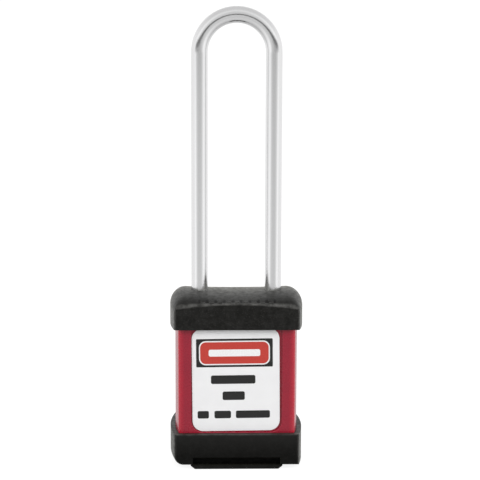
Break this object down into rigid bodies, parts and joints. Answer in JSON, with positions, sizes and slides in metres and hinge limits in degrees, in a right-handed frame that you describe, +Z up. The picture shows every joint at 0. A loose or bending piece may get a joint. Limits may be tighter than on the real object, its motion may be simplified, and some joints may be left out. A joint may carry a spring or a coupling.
{
  "type": "safety padlock",
  "caption": "Safety lockout padlock with a tall slim shackle, flat coloured body with a label recess, rubber top and bottom covers, keyway flap and double ball lock.",
  "frame": {"origin": "under the middle of the lock, on the plane that its keyway flap stands on", "axes": "+Z up along the shackle, +X across the body from the toe leg to the heel leg, -Y out of the labelled front face"},
  "size_m": [0.038, 0.024, 0.1306],
  "materials": {
    "crimson_plastic": "satin moulded thermoplastic, crimson",
    "cover_rubber": "matt black moulded elastomer, fine grain",
    "flap_rubber": "matt black moulded elastomer",
    "label_laminate": "white laminated film, satin",
    "shackle_steel": "drawn stainless rod, satin",
    "ball_steel": "hardened and polished",
    "spring_steel": "drawn spring wire",
    "carrier_plastic": "dark grey moulded nylon",
    "frame_steel": "milled steel block, zinc plated",
    "plated_steel": "zinc plated",
    "cylinder_brass": "machined, turning marks",
    "pin_brass": "turned and tumbled",
    "pin_steel": "nickel silver, turned"
  },
  "bodies": {
    "body": {"body_shell": "crimson_plastic", "top_cover": "cover_rubber", "bottom_cover": "cover_rubber", "flap_hinge_pin": "plated_steel", "front_label": "label_laminate", "back_label": "label_laminate", "lock_frame": "frame_steel", "core_carrier": "carrier_plastic", "cylinder_shell": "cylinder_brass", "pin_bore_cap": "cylinder_brass", "base_plate": "plated_steel", "base_screws": "plated_steel", "shackle_spring": "spring_steel", "pin_spring_1": "spring_steel", "pin_spring_2": "spring_steel", "pin_spring_3": "spring_steel", "pin_spring_4": "spring_steel", "pin_spring_5": "spring_steel", "pin_spring_6": "spring_steel"},
    "shackle": {"shackle": "shackle_steel"},
    "plug": {"cylinder_plug": "cylinder_brass", "plug_clip": "plated_steel", "ball_driver": "plated_steel"},
    "toe_ball": {"lock_ball_toe": "ball_steel"},
    "heel_ball": {"lock_ball_heel": "ball_steel"},
    "flap": {"keyway_flap": "flap_rubber"},
    "key_pin_1": {"key_pin_1": "pin_brass"},
    "driver_pin_1": {"driver_pin_1": "pin_steel"},
    "key_pin_2": {"key_pin_2": "pin_brass"},
    "driver_pin_2": {"driver_pin_2": "pin_steel"},
    "key_pin_3": {"key_pin_3": "pin_brass"},
    "driver_pin_3": {"driver_pin_3": "pin_steel"},
    "key_pin_4": {"key_pin_4": "pin_brass"},
    "driver_pin_4": {"driver_pin_4": "pin_steel"},
    "key_pin_5": {"key_pin_5": "pin_brass"},
    "driver_pin_5": {"driver_pin_5": "pin_steel"},
    "key_pin_6": {"key_pin_6": "pin_brass"},
    "driver_pin_6": {"driver_pin_6": "pin_steel"}
  },
  "joints": [
    {"name": "shackle_slide", "type": "slide", "parent": "body", "child": "shackle", "axis": [0, 0, 1], "range_m": [0, 0.013], "deforming": ["shackle_spring"]},
    {"name": "plug_turn", "type": "hinge", "parent": "body", "child": "plug", "pos_m": [0, 0, 0.02], "axis": [0, 0, 1], "range_deg": [-90, 0]},
    {"name": "toe_ball_slide", "type": "slide", "parent": "body", "child": "toe_ball", "axis": [-1, 0, 0], "range_m": [0, 0.0015]},
    {"name": "heel_ball_slide", "type": "slide", "parent": "body", "child": "heel_ball", "axis": [1, 0, 0], "range_m": [0, 0.0006]},
    {"name": "flap_swing", "type": "hinge", "parent": "body", "child": "flap", "pos_m": [0, 0.0102, 0.00125], "axis": [1, 0, 0], "range_deg": [0, 110]},
    {"name": "key_pin_1_slide", "type": "slide", "parent": "plug", "child": "key_pin_1", "axis": [-1, 0, 0], "range_m": [0, 0.00118]},
    {"name": "driver_pin_1_slide", "type": "slide", "parent": "body", "child": "driver_pin_1", "axis": [0, 1, 0], "range_m": [0, 0.0009], "stiffness_N_per_m": 20, "deforming": ["pin_spring_1"]},
    {"name": "key_pin_2_slide", "type": "slide", "parent": "plug", "child": "key_pin_2", "axis": [-1, 0, 0], "range_m": [0, 0.00078]},
    {"name": "driver_pin_2_slide", "type": "slide", "parent": "body", "child": "driver_pin_2", "axis": [0, 1, 0], "range_m": [0, 0.0009], "stiffness_N_per_m": 20, "deforming": ["pin_spring_2"]},
    {"name": "key_pin_3_slide", "type": "slide", "parent": "plug", "child": "key_pin_3", "axis": [-1, 0, 0], "range_m": [0, 0.00138]},
    {"name": "driver_pin_3_slide", "type": "slide", "parent": "body", "child": "driver_pin_3", "axis": [0, 1, 0], "range_m": [0, 0.0009], "stiffness_N_per_m": 20, "deforming": ["pin_spring_3"]},
    {"name": "key_pin_4_slide", "type": "slide", "parent": "plug", "child": "key_pin_4", "axis": [-1, 0, 0], "range_m": [0, 0.00058]},
    {"name": "driver_pin_4_slide", "type": "slide", "parent": "body", "child": "driver_pin_4", "axis": [0, 1, 0], "range_m": [0, 0.0009], "stiffness_N_per_m": 20, "deforming": ["pin_spring_4"]},
    {"name": "key_pin_5_slide", "type": "slide", "parent": "plug", "child": "key_pin_5", "axis": [-1, 0, 0], "range_m": [0, 0.00158]},
    {"name": "driver_pin_5_slide", "type": "slide", "parent": "body", "child": "driver_pin_5", "axis": [0, 1, 0], "range_m": [0, 0.0009], "stiffness_N_per_m": 20, "deforming": ["pin_spring_5"]},
    {"name": "key_pin_6_slide", "type": "slide", "parent": "plug", "child": "key_pin_6", "axis": [-1, 0, 0], "range_m": [0, 0.00098]},
    {"name": "driver_pin_6_slide", "type": "slide", "parent": "body", "child": "driver_pin_6", "axis": [0, 1, 0], "range_m": [0, 0.0009], "stiffness_N_per_m": 20, "deforming": ["pin_spring_6"]}
  ],
  "couplings": [
    {"joint": "toe_ball_slide", "follows": "plug_turn", "m_per_rad": -0.00089127},
    {"joint": "heel_ball_slide", "follows": "plug_turn", "m_per_rad": -0.00035014}
  ]
}
